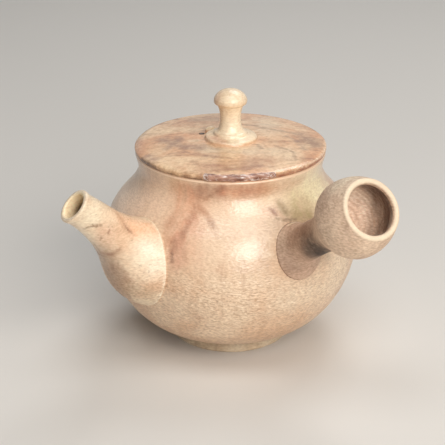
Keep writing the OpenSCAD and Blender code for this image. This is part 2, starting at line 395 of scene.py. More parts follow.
# %% Spout form
tip = np.array([76.4, 73.9])
tip_rise = 36.6
root_r, tip_r, taper = 17.8, 6.2, 1.9
bell_swell, bell_steep, bell_at = 1.03, 8.8, 0.4
lip_flare, lip_share = 0.5, 0.035
root_wall, tip_wall = 2.8, 1.9
mouth_lean, mouth_turn, mouth_share = 7.2, 12.5, 0.3
spout_len = np.linalg.norm(tip - spout_root)
spout_axis = [
    spout_root,
    spout_root + 0.19 * spout_len * heading(root_rise),
    tip - 0.357 * spout_len * heading(tip_rise),
    tip,
]
print(f"spout {spout_len:.1f} mm from root to tip")


def spout_radius(t):
    bell = (root_r - tip_r - taper) * bell_swell / (1 + np.exp(bell_steep * (t - bell_at)))
    return tip_r + taper * (1 - t) + bell + lip_flare * np.exp(-(((1 - t) / lip_share) ** 2))


def spout_points(t, turn, depth):
    """Points at t along the axis and turn round it, depth below the outside."""
    a, b, c, d = spout_axis
    s = t[..., None]
    middle = on_bezier(spout_axis, t)
    way = unit((1 - s) ** 2 * (b - a) + 2 * (1 - s) * s * (c - b) + s**2 * (d - c))
    radius = spout_radius(t) - depth
    side, lift = radius * np.cos(turn), radius * np.sin(turn)
    lean = lift * math.tan(math.radians(mouth_lean)) + side * math.tan(math.radians(mouth_turn))
    slide = -lean * np.clip(1 - (1 - t) / mouth_share, 0, 1) ** 2
    out = middle[..., 0] - lift * way[..., 1] + slide * way[..., 0]
    return np.stack([-out, side, middle[..., 1] + lift * way[..., 0] + slide * way[..., 1]], axis=-1)


# %% Lay the spout's skin
turn = full_turn(120)
seam = meeting(lambda t, a: spout_points(t, a, 0), 0, 0.9, turn, seam_proud)
bottom = meeting(lambda t, a: spout_points(t, a, root_wall), 0, 0.9, turn, 0)
# The rows lie closer at the root, where the form changes most.
outer = seam + (1 - seam) * np.linspace(0, 1, 90)[:, None] ** 1.1
inner = bottom + (1 - bottom) * np.linspace(1, 0, 60)[:, None]
inner_wall = root_wall + (tip_wall - root_wall) * inner
outer_rows = spout_points(outer, turn + 0 * outer, 0)
inner_rows = spout_points(inner, turn + 0 * inner, inner_wall)
tip_way = np.array([-heading(tip_rise)[0], 0, heading(tip_rise)[1]])
lip_r, lip_long = tip_wall / 2, 0.7
lip = [
    spout_points(1 + 0 * turn, turn, lip_r * (1 - math.cos(step))) + lip_r * lip_long * math.sin(step) * tip_way
    for step in np.linspace(0, math.pi, 9)[1:-1]
]
spout = luted("spout_clay", outer_rows, lip, inner_rows)
place(spout, "pot", "spout", "stoneware_spout")
spout_slip = slip_bead("spout_slip", outer_rows[0])
spout_seam = [(float(share), math.degrees(a)) for share, a in zip(seam, turn)]

# %% [markdown]
# ## The hollow handle
#
# The handle is thrown like a small bottle: a flange that flares on to the wall, a waist, a round bulb,
# and an open mouth with a rolled rim. Nobody smooths its inside, so the finger's spiral shows there,
# and it is real depth in the mesh. The outline turns about the handle's own tilted axis, and the flange
# is trimmed against the pot in the same way as the spout.

# %% Handle sizes
handle_turn, handle_rise = 260.0, 34.7
handle_cross = np.array([0, 0, 20.5])
handle_len, waist_back, bulb_back = 107.7, 35.1, 11.3
flange_r, waist_r, bulb_r = 13.5, 6.85, 14.45
flange_lean = 116
rim_out, rim_in, rim_over, rim_lean = 11.4, 9.2, 0.35, 17.0
cup_wall, core_r = 2.7, 3.5
cup_r = bulb_r - cup_wall
waist_at, bulb_at = handle_len - waist_back, handle_len - bulb_back
neck_len, swell_len = waist_at - belly_r, bulb_at - waist_at
print(f"waist at {waist_at:.1f} mm, bulb at {bulb_at:.1f} mm from the pot's axis")

# %% Handle outlines, as radius and length along the axis
flange = np.array([flange_r, belly_r])
flange_way = flange + 0.58 * neck_len * heading(flange_lean)
rim_edge = np.array([rim_out, handle_len + rim_over])
handle_out = profile(
    flange,
    (flange_way, (waist_r, waist_at - 0.67 * neck_len), (waist_r, waist_at), 60),
    ((waist_r, waist_at + 0.59 * swell_len), (bulb_r, bulb_at - 0.25 * swell_len), (bulb_r, bulb_at), 50),
    ((bulb_r, bulb_at + 0.58 * bulb_back), (rim_out + 0.55, handle_len - 1.3), rim_edge, 24),
)
roll_r = (rim_out - rim_in) / (1 + heading(rim_lean)[0])
roll = arc(rim_edge - roll_r * heading(rim_lean), roll_r, rim_lean, 180, 14)
cup_run = profile(
    (core_r, waist_at + 0.17 * swell_len),
    ((core_r, waist_at + 0.55 * swell_len), (cup_r, bulb_at - 0.32 * swell_len), (cup_r, bulb_at), 70),
)
mouth_run = profile(
    (cup_r, bulb_at),
    ((cup_r, bulb_at + 0.5 * bulb_back), (rim_in, handle_len - 0.27 * bulb_back), (rim_in, handle_len), 40),
)
handle_in = chain([(core_r, belly_r)], filled(cup_run, 0.4), mouth_run)
print(len(handle_out), "points outside,", len(handle_in), "inside")

# %% Points on the handle
handle_way = np.array([*(heading(handle_turn) * heading(handle_rise)[0]), heading(handle_rise)[1]])
handle_side = np.array([*heading(handle_turn + 90), 0.0])
handle_up = np.cross(handle_way, handle_side)
spiral_pitch, spiral_depth = 1.7, 0.09
print("handle along", np.round(handle_way, 3).tolist())


def handle_points(outline, spiral=0.0):
    """A function that gives points at a share along the outline and a turn round the handle."""
    steps = np.linalg.norm(np.diff(outline, axis=0), axis=1)
    share = np.concatenate([[0], np.cumsum(steps)]) / steps.sum()

    def at(place, turn):
        radius = np.interp(place, share, outline[:, 0])
        along = np.interp(place, share, outline[:, 1])
        wave = np.sin(2 * math.pi * along / spiral_pitch - turn)
        radius = radius + spiral * wave * np.clip((handle_len - 2 - along) / 5, 0, 1)
        ring = np.cos(turn)[..., None] * handle_side + np.sin(turn)[..., None] * handle_up
        return handle_cross + along[..., None] * handle_way + radius[..., None] * ring

    return at


# %% Lay the handle's skin
outer_at, roll_at = handle_points(handle_out), handle_points(roll)
inner_at = handle_points(handle_in, spiral_depth)
turn = full_turn(NARROW)
seam = meeting(outer_at, 0, 0.6, turn, seam_proud)
bottom = meeting(inner_at, 0, 0.4, turn, 0)
outer = seam + (1 - seam) * np.linspace(0, 1, 150)[:, None]
inner = bottom + (1 - bottom) * np.linspace(1, 0, 220)[:, None]
outer_rows = outer_at(outer, turn + 0 * outer)
inner_rows = inner_at(inner, turn + 0 * inner)
rolls = [roll_at(share + 0 * turn, turn) for share in np.linspace(0, 1, 13)]
handle = luted("handle_clay", outer_rows, rolls, inner_rows)
place(handle, "pot", "side_handle", "stoneware_handle")
handle_slip = slip_bead("handle_slip", outer_rows[0])

# %% [markdown]
# ## The lid
#
# The lid is a flat disc with a soft bevel at its edge, trimmed on the wheel, so faint rings run round its
# top. In the fire its edge sank a little on one side. One small air hole is pierced beside the knob. The
# ring under the lid and the knob on top were thrown apart and luted on.

# %% Lid outline
lid_low, lid_high = node_box("lid_plate")
knob_low, knob_high = node_box("lid_knob")
lid_r, lid_z, lid_top = lid_high[0], lid_low[2], lid_high[2]
collar_r = knob_high[0]
edge_low, edge_high = 1.0, 0.5
edge_face, lid_t = 1.75, 2.5
bevel_r = lid_r - 1.5


def crown(radius):
    """Height of the lid's gentle dome, flat under the knob."""
    share = np.maximum(0, radius - collar_r) / (lid_r - collar_r)
    return lid_z + lid_t + (lid_top - lid_z - lid_t) * (1 - share**2)


lid_edge = chain(
    arc((lid_r - edge_low, lid_z + edge_low), edge_low, -90, 0, 6),
    arc((lid_r - edge_high, lid_z + edge_face), edge_high, 0, 68, 6),
    [(bevel_r, crown(bevel_r))],
)
crown_r = np.linspace(bevel_r, collar_r - 1, 60)
crown_run = np.stack([crown_r, crown(crown_r)], axis=1)
lid_outline = chain([(0, lid_z), (lid_r - edge_low, lid_z)], lid_edge, crown_run, [(0, lid_top)])
print(f"lid {2 * lid_r:.1f} mm, {len(lid_outline)} points in its outline")

# %% Turn the lid and pierce it
trim_pitch, trim_depth = 2.7, 0.02
sunk_deep, sunk_side, sunk_wide, sunk_in = 0.75, -92, 30, 3.6
vent_r, vent_at, vent_turn = 1.2, 12.5, 112.0


def trimmed(turn, radius, height):
    return waves(turn, (0.05, 4, 0.6), (0.03, 11, 2))


def from_side(angle, side):
    """Degrees between an angle and a side, which is a turn from the front."""
    return np.degrees(np.angle(np.exp(1j * (angle - math.radians(front + side)))))


def hand_worn(rows):
    """Trimming rings and a slight warp on the lid's top, and the edge that sank."""
    radius = np.hypot(rows[..., 0], rows[..., 1])
    angle = np.arctan2(rows[..., 1], rows[..., 0])
    top = np.clip((rows[..., 2] - lid_z - 1.2) / 0.8, 0, 1) * np.clip((radius - collar_r) / 2, 0, 1)
    ring = waves(angle, (trim_depth, 1, 2 * math.pi * radius / trim_pitch), (0.05, 2, 0.12 * radius))
    near = np.exp(-((from_side(angle, sunk_side) / sunk_wide) ** 2))
    sunk = sunk_deep * near * np.clip(1 - (lid_r - radius) / sunk_in, 0, 1) ** 1.3
    rows[..., 2] += top * (ring - sunk)
    return rows


lid = skin("lid", hand_worn(turned(filled(lid_outline, 0.7), WIDE, trimmed)))
vent = np.array([*(vent_at * heading(vent_turn)), 0])
cut(lid, drill("vent_cutter", vent + (0, 0, lid_z - 1), (0, 0, 1), vent_r, 8))
place(lid, "lid", "lid_plate", "stoneware_lid")

# %% [markdown]
# ## The burr beside the air hole
#
# The awl that pierced the lid pushed up a crumb of clay between hole and knob, and nobody trimmed it. It is
# a small lump, so a turned dome does, squeezed and pulled out of round before it is set on the lid.

# %% Set the burr
burr_r, burr_h, burr_deep = 1.8, 2.1, 0.4
burr_thin, burr_lean, burr_swell = 0.7, 0.2, 0.16
burr_at, burr_turn = 11.6, 92.0
burr_way = heading(-43.0)
burr_dome = profile((burr_r, -burr_deep), ((1.9, 1.1), (1.2, burr_h), (0, burr_h), 14))
burr_rows = turned(chain([(0, -burr_deep)], burr_dome), 48)
burr_angle, burr_up = np.arctan2(burr_rows[..., 1], burr_rows[..., 0]), burr_rows[..., 2]
swell = 1 + waves(burr_angle, (burr_swell, 2, 1.4 * burr_up))
burr_rows[..., :2] *= (swell * np.clip(burr_up + 1, 0.6, 1))[..., None]
burr_rows[..., 1] *= burr_thin
burr_rows[..., 0] += burr_lean * burr_up
burr_rows[..., :2] = burr_rows[..., :2] @ np.array([burr_way, [-burr_way[1], burr_way[0]]])
burr_rows += np.array([*(burr_at * heading(burr_turn)), lid_top])
burr = place(skin("vent_burr", burr_rows), "lid", None, "stoneware_lid")

# %% [markdown]
# ## The ash run on the lid's edge
#
# At the front, fly ash gathered on the lid's edge, melted and ran, and it cooled to a thin brown glaze. It has
# a body of its own, so it is a shell over the edge's own outline. Its thickness falls below zero at the
# border, where the shell dips under the clay, and that gives the run its feathered outline.

# %% Thickness of the ash run
ash_from, ash_to, ash_deep = -16.5, 28.0, 0.5
ash_sunk, ash_under = 0.08, 0.2
on_face = (lid_edge[:, 1] > lid_z + 0.1) & (lid_edge[:, 0] > bevel_r - 0.1)
ash_run = filled(lid_edge[on_face], 0.12)


def eased(share):
    share = np.clip(share, 0, 1)
    return share * share * (3 - 2 * share)


ash_turn = np.linspace(ash_from, ash_to, 200)[:, None]
ash_share = np.linspace(0, 1, len(ash_run))[None]
wander = waves(ash_turn, (0.04, 1.1, 0), (0.05, 0.43, 1))
ash_mask = eased((ash_turn - ash_from) / 5) * eased((ash_to - ash_turn) / 6)
ash_mask = ash_mask * eased((ash_share + wander) / 0.25) * eased((1.0 - ash_share + wander) / 0.2)
lumps = 0.5 + 0.8 * np.sin(math.pi * ash_share) + waves(ash_turn, (0.15, 0.9, 2 * ash_share))
ash_thick = ash_deep * ash_mask * lumps - ash_sunk * (1 - ash_mask)
print(f"ash up to {ash_thick.max():.2f} mm thick")

# %% Lay the ash run
ash_out = -left_of(ash_run)
ash_over = ash_run + ash_thick[..., None] * ash_out
ash_loop = np.concatenate([ash_over, (ash_run - ash_under * ash_out + 0 * ash_over)[:, ::-1]], axis=1)
ash_cos, ash_sin = (f(np.radians(front + ash_turn)) for f in (np.cos, np.sin))
ash_rows = np.stack([ash_loop[..., 0] * ash_cos, ash_loop[..., 0] * ash_sin, ash_loop[..., 1]], axis=-1)
ash_rows[[0, -1]] = ash_rows[[0, -1]].mean(axis=1, keepdims=True)
ash = place(skin("ash_run", ash_rows), "lid", None, "stoneware_lid")

# %% [markdown]
# ## The ring under the lid
#
# A plain ring of clay under the disc drops into the neck and keeps the lid from sliding off. It is a small
# closed outline turned once round. Its lower edges are rounded, because a wet finger runs round them on
# the wheel, and a sharp edge of fired clay would chip.

# %% Turn the ring
ring_low, ring_high = node_box("lid_flange")
ring_t, ring_edge = 2.4, 0.6
ring_r = ring_high[0]
ring_in = ring_r - ring_t
ring_outline = chain(
    [(ring_r, ring_high[2])],
    arc((ring_r - ring_edge, ring_low[2] + ring_edge), ring_edge, 0, -90, 5),
    arc((ring_in + ring_edge, ring_low[2] + ring_edge), ring_edge, -90, -180, 5),
    [(ring_in, ring_high[2])],
)
lid_ring = skin("lid_ring", turned(filled(ring_outline, 0.8), MIDDLING), loop=True)
place(lid_ring, "lid", "lid_flange", "stoneware_inside")

# %% [markdown]
# ## The knob
#
# The knob is thrown off a small lump: a collar pressed on to the lid, a waisted stem to hold, and a cap like
# a mushroom. A cylinder with a ball on it would be quicker, but the eye reads the soft steps of the collar
# and the quick turn under the cap, so each stretch of the outline is a Bezier curve of its own.

# %% Knob outline
collar_z, knob_top = knob_low[2], knob_high[2]
collar_t, collar_foot = 1.4, collar_r + 0.6
collar_top = collar_z + collar_t
cap_r = 6.45
cap_z = knob_top - 0.72 * cap_r
stem_r, stem_flare = 4.0, 1.1
step_r, step_z = 0.63 * collar_r, collar_top + 1.6
stem_top, stem_out = cap_z - 0.26 * cap_r, stem_r + stem_flare
waist_z = step_z + 0.5 * (stem_top - step_z)
collar_run = profile(
    (collar_foot, collar_z - 0.05),
    ((collar_r - 0.1, collar_z + 0.05), (collar_r + 0.15, collar_z + 1.15), (collar_r - 0.9, collar_top), 12),
    ((collar_r - 1.7, collar_z + 1.65), (step_r + 0.9, collar_z + 1.7), (step_r + 0.3, collar_z + 2.0), 8),
    ((step_r, collar_z + 2.2), (step_r + 0.1, step_z - 0.1), (step_r - 0.7, step_z + 0.1), 8),
)
stem_run = profile(
    collar_run[-1],
    ((stem_r + 0.6, step_z + 0.5), (stem_r, step_z + 3.4), (stem_r, waist_z), 18),
    ((stem_r, waist_z + 3.2), (stem_r + 0.6 * stem_flare, stem_top - 0.9), (stem_out, stem_top), 16),
)
cap_run = profile(
    (stem_out, stem_top),
    ((0.86 * cap_r, stem_top + 0.08 * cap_r), (cap_r, cap_z - 0.22 * cap_r), (cap_r, cap_z), 12),
    ((cap_r, cap_z + 0.37 * cap_r), (0.55 * cap_r, knob_top), (0, knob_top), 24),
)
knob_base = [(0, collar_z - 0.1), (collar_foot, collar_z - 0.1)]
knob_outline = chain(knob_base, collar_run, stem_run, cap_run)
print(f"cap {2 * cap_r:.1f} mm, {len(knob_outline)} points in the knob's outline")

# %% Turn the knob
knob_pitch = 1.9
steep_deep, steep_side, steep_wide, steep_in = 0.55, -95, 50, 0.9


def pulled(turn, radius, height):
    """Finger lines and a slight oval, and a collar that was pressed steeper on one side."""
    near = np.exp(-((from_side(turn, steep_side) / steep_wide) ** 2))
    steep = near * np.clip((radius - collar_r + steep_in) / steep_in, 0, 1)
    lines = waves(turn, (0.05, 2, 0.3 * height), (0.03, 1, 2 * math.pi * height / knob_pitch))
    return lines - steep_deep * steep


knob = skin("knob", turned(knob_outline, NARROW, pulled))
place(knob, "lid", "lid_knob", "stoneware_knob")

# %% [markdown]
# ## The strainer
#
# Behind the pour hole sits a pierced half ball that holds the leaves back. The frame's own solid already
# has every hole in place, so it stays as it is and only takes a finish.

# %% Keep the strainer
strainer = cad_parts["strainer"]
print("strainer:", len(strainer.data.polygons), "faces")

# %% [markdown]
# ## Fired clay
#
# Wood-fired stoneware has no glaze. The clay body fires to buff, flame licks it to peach and pink-brown
# where it travels, fly ash settles as a thin satin skin, and sand in the clay shows as speckle and as
# a fine orange peel. One recipe can serve all pieces, with its own colours and marks for each. It works
# in object coordinates, so the pattern sits in the clay and moves with the piece.

# %% Colour and node helpers
# Sockets of the Mix node when it mixes colours: how much, the two colours, and the result.
MIX, FIRST, SECOND, MIXED = 0, 6, 7, 2


def linear(code):
    """An sRGB hex colour as linear red, green, blue and alpha."""
    parts = [int(code[i : i + 2], 16) / 255 for i in (1, 3, 5)]
    return (*(p / 12.92 if p <= 0.04045 else ((p + 0.055) / 1.055) ** 2.4 for p in parts), 1.0)


def per_mm(size):
    """A texture scale that gives features of this size in millimetres."""
    return 1.0 / (size * MM)


def put(tree, kind, settings, links=()):
    """One shader node with its settings, which are properties or input values, and its links."""
    node = tree.nodes.new("ShaderNode" + kind)
    for key, value in settings.items():
        if isinstance(key, str) and hasattr(node, key):
            setattr(node, key, value)
        else:
            node.inputs[key].default_value = value
    for key, socket in dict(links).items():
        tree.links.new(socket, node.inputs[key])
    return node


def raw(name):
    """A material, its empty tree, and the places on its piece."""
    material = bpy.data.materials.new(name)
    material.use_nodes = True
    tree = material.node_tree
    tree.nodes.clear()
    return material, tree, put(tree, "TexCoord", {}).outputs["Object"]


def fired(material, shader):
    """The material with its shader joined to the output."""
    put(material.node_tree, "OutputMaterial", {}, {"Surface": shader.outputs[0]})
    print(material.name, len(material.node_tree.nodes), "nodes")
    return material


# %% [markdown]
# ## Marks of the flame
#
# Flame and ash leave soft brush-like marks. A mark here is a line from one point to another with a width,
# and its strength falls off with the distance from that line. The points are first pushed about by a noise,
# which tears the edges. A band is simpler: a colour that comes in along one direction, as on a worn rim.

# %% Shades, bands and strokes
# A stroke is gone at this many widths from its line.
FADE = 1.25


def shaded(tree, colour, shade, value, start, end, strength, ease="LINEAR", patch=None):
    """The colour with a shade over it where the value goes from start to end. A patch thins it."""
    mask = put(tree, "MapRange", {"interpolation_type": ease, "From Min": start, "From Max": end,
                                  "To Max": strength}, {"Value": value}).outputs[0]
    if patch:
        mask = put(tree, "Math", {"operation": "MULTIPLY"}, {0: mask, 1: patch}).outputs[0]
    return put(tree, "Mix", {"data_type": "RGBA", SECOND: linear(shade)},
               {MIX: mask, FIRST: colour}).outputs[MIXED]


def band(tree, colour, where, way, start, end, shade, strength):
    """A colour that comes in from start to end, measured along way in millimetres."""
    along = put(tree, "VectorMath", {"operation": "DOT_PRODUCT", 1: way}, {0: where}).outputs["Value"]
    return shaded(tree, colour, shade, along, start * MM, end * MM, strength, "SMOOTHSTEP")


def stroke(tree, colour, torn, patch, start, end, width, shade, strength):
    """One soft mark from start to end. Places and width are in millimetres."""
    foot = np.array(start) * MM
    reach = np.array(end) * MM - foot
    shift = put(tree, "VectorMath", {"operation": "SUBTRACT", 1: foot}, {0: torn}).outputs[0]
    if np.any(reach):
        share = put(tree, "VectorMath", {"operation": "DOT_PRODUCT", 1: reach / (reach @ reach)},
                    {0: shift}).outputs["Value"]
        held = put(tree, "Clamp", {}, {"Value": share}).outputs[0]
        along = put(tree, "VectorMath", {"operation": "SCALE", 0: reach}, {"Scale": held}).outputs[0]
        shift = put(tree, "VectorMath", {"operation": "SUBTRACT"}, {0: shift, 1: along}).outputs[0]
    far = put(tree, "VectorMath", {"operation": "LENGTH"}, {0: shift}).outputs["Value"]
    return shaded(tree, colour, shade, far, FADE * width * MM, 0.0, strength, "SMOOTHSTEP", patch)


# %% [markdown]
# ## Clouds, streaks and torn edges
#
# A kiln works at several scales at once. Two clays lie in broad clouds, and the flame combs fine streaks
# through them. Noise textures give both, one as it is and one drawn out by a Mapping node. A third noise
# pushes places about by a few millimetres, so that a mark that is laid on them gets a torn edge.

# %% Clouds, streaks and pushed places
CLOUD, COMB = 22, 4.5


def clouds(tree, where, clay, pale):
    """Two clays in broad clouds."""
    cloud = put(tree, "TexNoise", {"Scale": per_mm(CLOUD), "Detail": 5.0, "Roughness": 0.6,
                                   "Distortion": 0.5}, {"Vector": where}).outputs["Fac"]
    soft = put(tree, "MapRange", {"interpolation_type": "SMOOTHSTEP", "From Min": 0.36, "From Max": 0.66},
               {"Value": cloud}).outputs[0]
    return put(tree, "Mix", {"data_type": "RGBA", FIRST: linear(clay), SECOND: linear(pale)},
               {MIX: soft}).outputs[MIXED]


def streaks(tree, where, way, stretch):
    """A noise that the flame drew out, turned by way in degrees."""
    drawn = put(tree, "Mapping", {"vector_type": "TEXTURE", "Rotation": (0, 0, math.radians(way)),
                                  "Scale": stretch}, {"Vector": where}).outputs[0]
    return put(tree, "TexNoise", {"Scale": per_mm(COMB), "Detail": 6.0, "Roughness": 0.62,
                                  "Distortion": 0.4}, {"Vector": drawn}).outputs["Fac"]


def pushed(tree, where, size, detail, reach):
    """Places pushed about by up to reach millimetres, by a noise of this size in millimetres."""
    tear = put(tree, "TexNoise", {"Scale": per_mm(size), "Detail": detail, "Roughness": 0.6},
               {"Vector": where}).outputs["Color"]
    push = put(tree, "VectorMath", {"operation": "MULTIPLY_ADD", 1: [2 * reach * MM] * 3,
                                    2: [-reach * MM] * 3}, {0: tear}).outputs[0]
    return put(tree, "VectorMath", {"operation": "ADD"}, {0: where, 1: push}).outputs[0]


# %% [markdown]
# ## Sand and the skin of ash
#
# Trimming on the wheel drags the sand sideways, so its bumps are longer than they are high, with pale tops
# and darker hollows. Fly ash falls from above and lies as a thin satin skin on shoulders, so bumps and
# roughness grow below the ash line. The bump's depth is a real one, in millimetres.

# %% Sand and ash
UP = (0.0, 0.0, 1.0)
# Sand is about 0.4 mm on real clay, which is one pixel here, so it is drawn at 0.55 mm.
SAND, PIT = 0.55, 1.5
DRAG = (2.3, 2.3, 1.0)
# How strongly a grain changes red, green and blue: hollows turn warm, and tops a little cool.
GRAIN_TINT = (0.8, 1.0, 1.2)
PIT_SHARE, SKIN_SHARE = 0.3, 0.45


def below(tree, torn, ash_line):
    """One where the clay is bare, below the ash line, and zero under the skin of ash."""
    height = put(tree, "VectorMath", {"operation": "DOT_PRODUCT", 1: UP}, {0: torn}).outputs["Value"]
    return put(tree, "MapRange", {"interpolation_type": "SMOOTHSTEP", "From Min": ash_line[1] * MM,
                                  "From Max": ash_line[0] * MM}, {"Value": height}).outputs[0]


def sanded(tree, colour, sand, bare, sandy):
    """The colour with pale grains and dark hollows, stronger where the clay is bare."""
    grit = put(tree, "MapRange", {"To Min": SKIN_SHARE * sandy, "To Max": sandy}, {"Value": bare}).outputs[0]
    even = put(tree, "Math", {"operation": "SUBTRACT", 1: 0.5}, {0: sand}).outputs[0]
    grain = put(tree, "Math", {"operation": "MULTIPLY"}, {0: even, 1: grit}).outputs[0]
    tint = put(tree, "VectorMath", {"operation": "MULTIPLY_ADD", 1: GRAIN_TINT, 2: (1.0, 1.0, 1.0)},
               {0: grain}).outputs[0]
    return put(tree, "VectorMath", {"operation": "MULTIPLY"}, {0: colour, 1: tint}).outputs[0]


def orange_peel(tree, dragged, sand, bare, skin_sand, depth):
    """The bump of sand and pits. skin_sand is what still shows through the ash."""
    proud = put(tree, "MapRange", {"To Min": skin_sand, "To Max": 1.0}, {"Value": bare}).outputs[0]
    pit = put(tree, "TexNoise", {"Scale": per_mm(PIT), "Detail": 1.0}, {"Vector": dragged}).outputs["Fac"]
    high = put(tree, "Math", {"operation": "MULTIPLY_ADD", 1: PIT_SHARE}, {0: pit, 2: sand}).outputs[0]
    return put(tree, "Bump", {"Distance": depth * MM}, {"Height": high, "Strength": proud}).outputs[0]


# %% [markdown]
# ## The stoneware recipe
#
# The recipe lays these on each other in the order of the kiln: clouds and streaks, broad marks, a mottle,
# small sharp marks, bands, sand, rust spots, and last what was wiped clean or painted as a highlight on a rim.
# Some marks and bands are painted light and shade. Fired clay has an IOR near 1.55, and the ash skin reflects
# more, so the recipe takes 1.65. Where ash is thick enough to melt a little, a thin coat on top gives the broad
# soft highlight, as a varnish would.

# %% Stoneware recipe
# Sizes in millimetres of torn edges, frayed edges, mottle and rust spots.
TEAR, FRAY, MOTTLE, RUST = 5.5, 1.6, 3.4, 1.4
SKIN_GLOSS, BARE_DRY = 0.19, 0.06


def stoneware(
    name, clay, pale, iron, strokes=(), bands=(), edges=(), wiped_and_lit=(),
    streak_way=0.0, streak=(1.0, 1.0, 5.0), lick=0.35, mottle=0.16, dots=0.0,
    ash_line=(34.0, 52.0), skin_sand=0.1, coat=0.0, depth=0.45, rough=0.46, sandy=1.3,
):
    """Wood-fired clay of three hex colours with its marks. Ash line and depth are in millimetres."""
    material, tree, where = raw(name)
    colour = clouds(tree, where, clay, pale)
    comb = streaks(tree, where, streak_way, streak)
    colour = shaded(tree, colour, iron, comb, 0.48, 0.74, lick, "SMOOTHSTEP")
    torn = pushed(tree, where, TEAR, 5.0, 2.0)
    patch = put(tree, "MapRange", {"From Min": 0.3, "From Max": 0.62, "To Min": 0.4},
                {"Value": comb}).outputs[0]
    for mark in strokes:
        colour = stroke(tree, colour, torn, patch, *mark)
    uneven = put(tree, "TexNoise", {"Scale": per_mm(MOTTLE), "Detail": 4.0, "Roughness": 0.65},
                 {"Vector": torn}).outputs["Fac"]
    for end, shade in ((0.25, iron), (0.75, pale)):
        colour = shaded(tree, colour, shade, uneven, 0.5, end, mottle)
    frayed = pushed(tree, where, FRAY, 3.0, 1.2)
    for mark in edges:
        colour = stroke(tree, colour, frayed, patch, *mark)
    for mark in bands:
        colour = band(tree, colour, where, *mark)
    dragged = put(tree, "Mapping", {"vector_type": "TEXTURE", "Scale": DRAG}, {"Vector": where}).outputs[0]
    bare = below(tree, torn, ash_line)
    sand = put(tree, "TexNoise", {"Scale": per_mm(SAND), "Detail": 1.0, "Roughness": 0.5},
               {"Vector": dragged}).outputs["Fac"]
    colour = sanded(tree, colour, sand, bare, sandy)
    rust = put(tree, "TexNoise", {"Scale": per_mm(RUST), "Detail": 1.0}, {"Vector": where}).outputs["Fac"]
    colour = shaded(tree, colour, "#7f5a44", rust, 0.68, 0.78, dots)
    # Bands laid last: wiped rims, and the painted highlight round the pot's rim.
    for mark in wiped_and_lit:
        colour = band(tree, colour, where, *mark)
    gloss = put(tree, "MapRange", {"To Min": rough - SKIN_GLOSS, "To Max": rough + BARE_DRY},
                {"Value": bare}).outputs[0]
    peel = orange_peel(tree, dragged, sand, bare, skin_sand, depth)
    return fired(material, put(
        tree, "BsdfPrincipled", {"IOR": 1.65, "Coat Weight": coat, "Coat Roughness": 0.36},
        {"Base Color": colour, "Roughness": gloss, "Normal": peel, "Coat Normal": peel},
    ))


# %% [markdown]
# ## Where the flame went on the pot
#
# The photographed side shows pink-brown runs under the lid to the left, a straw-coloured patch on the right
# shoulder, a smoky smudge beside the handle and bare sandy buff below. A place on the pot is a turn from
# the front and a height, so each mark can be laid the way one would point at it. To the eye this is dry
# sandy clay below and a soft satin sheen above, where the ash melted to a thin coat.

# %% Broad marks on the pot
def on_pot(turn, height):
    return [*(float(pot_radius(height)) * heading(front + turn)), height]


def marks(point, *runs):
    """Strokes through stops. A run is a colour, a strength, a width and stops as point takes them."""
    laid = []
    for shade, strength, width, *stops in runs:
        places = [point(*stop) for stop in stops]
        laid += [(a, b, width, shade, strength) for a, b in zip(places, places[1:] or places)]
    return laid


pot_strokes = marks(
    on_pot,
    # Pale ash on shoulder and belly.
    ("#f2d6ba", 0.60, 14, (-4, 66), (14, 64)),
    ("#ecc7a9", 0.60, 8, (-15, 63), (-12, 52)),
    ("#fbd8b9", 0.95, 13, (-74, 58), (-50, 65)),
    ("#efd8bb", 0.80, 13, (26, 34), (60, 38)),
    ("#fdebcd", 0.50, 9, (24, 68.7), (35, 66.8)),
    # The straw-coloured patch above the handle and its darker border.
    ("#fff0c4", 0.90, 11, (46, 71), (57, 69), (70, 65)),
    ("#cdb785", 0.75, 5.5, (41, 65.8), (48, 64.8)),
    ("#ad9660", 0.80, 4, (37, 62.2), (46, 61.2)),
    # Flame colour under the lid, deepened with painted shade of the lid's overhang.
    ("#b88665", 0.70, 6, (-30, 73.5), (-19, 71.5)),
    ("#a06a4b", 0.70, 5, (-19, 73.4), (-7, 73.9)),
    ("#b5704a", 0.90, 4.5, (-5, 73.9), (18, 74)),
    ("#cf9f7c", 0.65, 3.6, (18, 73.8), (46, 73.4)),
    # The runs down the shoulder and the thin veins in them.
    ("#dfa07c", 0.75, 10, (-26, 68), (-24, 54)),
    ("#cf9c84", 0.50, 4.5, (-24.8, 56), (-23.5, 49)),
    ("#c08a69", 0.35, 3, (-31, 64), (-31.6, 60), (-29.5, 55.5)),
    ("#ad7252", 0.40, 2.3, (-19.4, 67.2), (-20.4, 64.9), (-21.6, 62.4), (-22.7, 59.3), (-23.1, 54)),
    ("#b07a58", 0.38, 1.8, (-18.5, 67.2), (-16.1, 66.2), (-13, 65.1), (-10.9, 63.6), (-8.9, 61.9)),
    # Smudges beside the handle, and painted shadow below its flange.
    ("#cdae90", 0.40, 4, (19.6, 62.4), (24, 60)),
    ("#d8a98a", 0.60, 2.8, (18.6, 65.7), (25, 65)),
    ("#7d6149", 0.60, 4, (42.5, 47.5), (47, 46.5)),
    # The far side, kept plain.
    ("#b98a69", 0.65, 7, (140, 72), (152, 48)),
    ("#cbb387", 0.70, 12, (196, 64), (214, 58)),
    ("#b07f60", 0.60, 4, (172, 70), (178, 57), (174, 46)),
    ("#dfbd99", 0.60, 14, (120, 30), (240, 28)),
    ("#b78562", 0.80, 5, (110, 74), (230, 74)),
)
print(len(pot_strokes), "broad strokes on the pot")

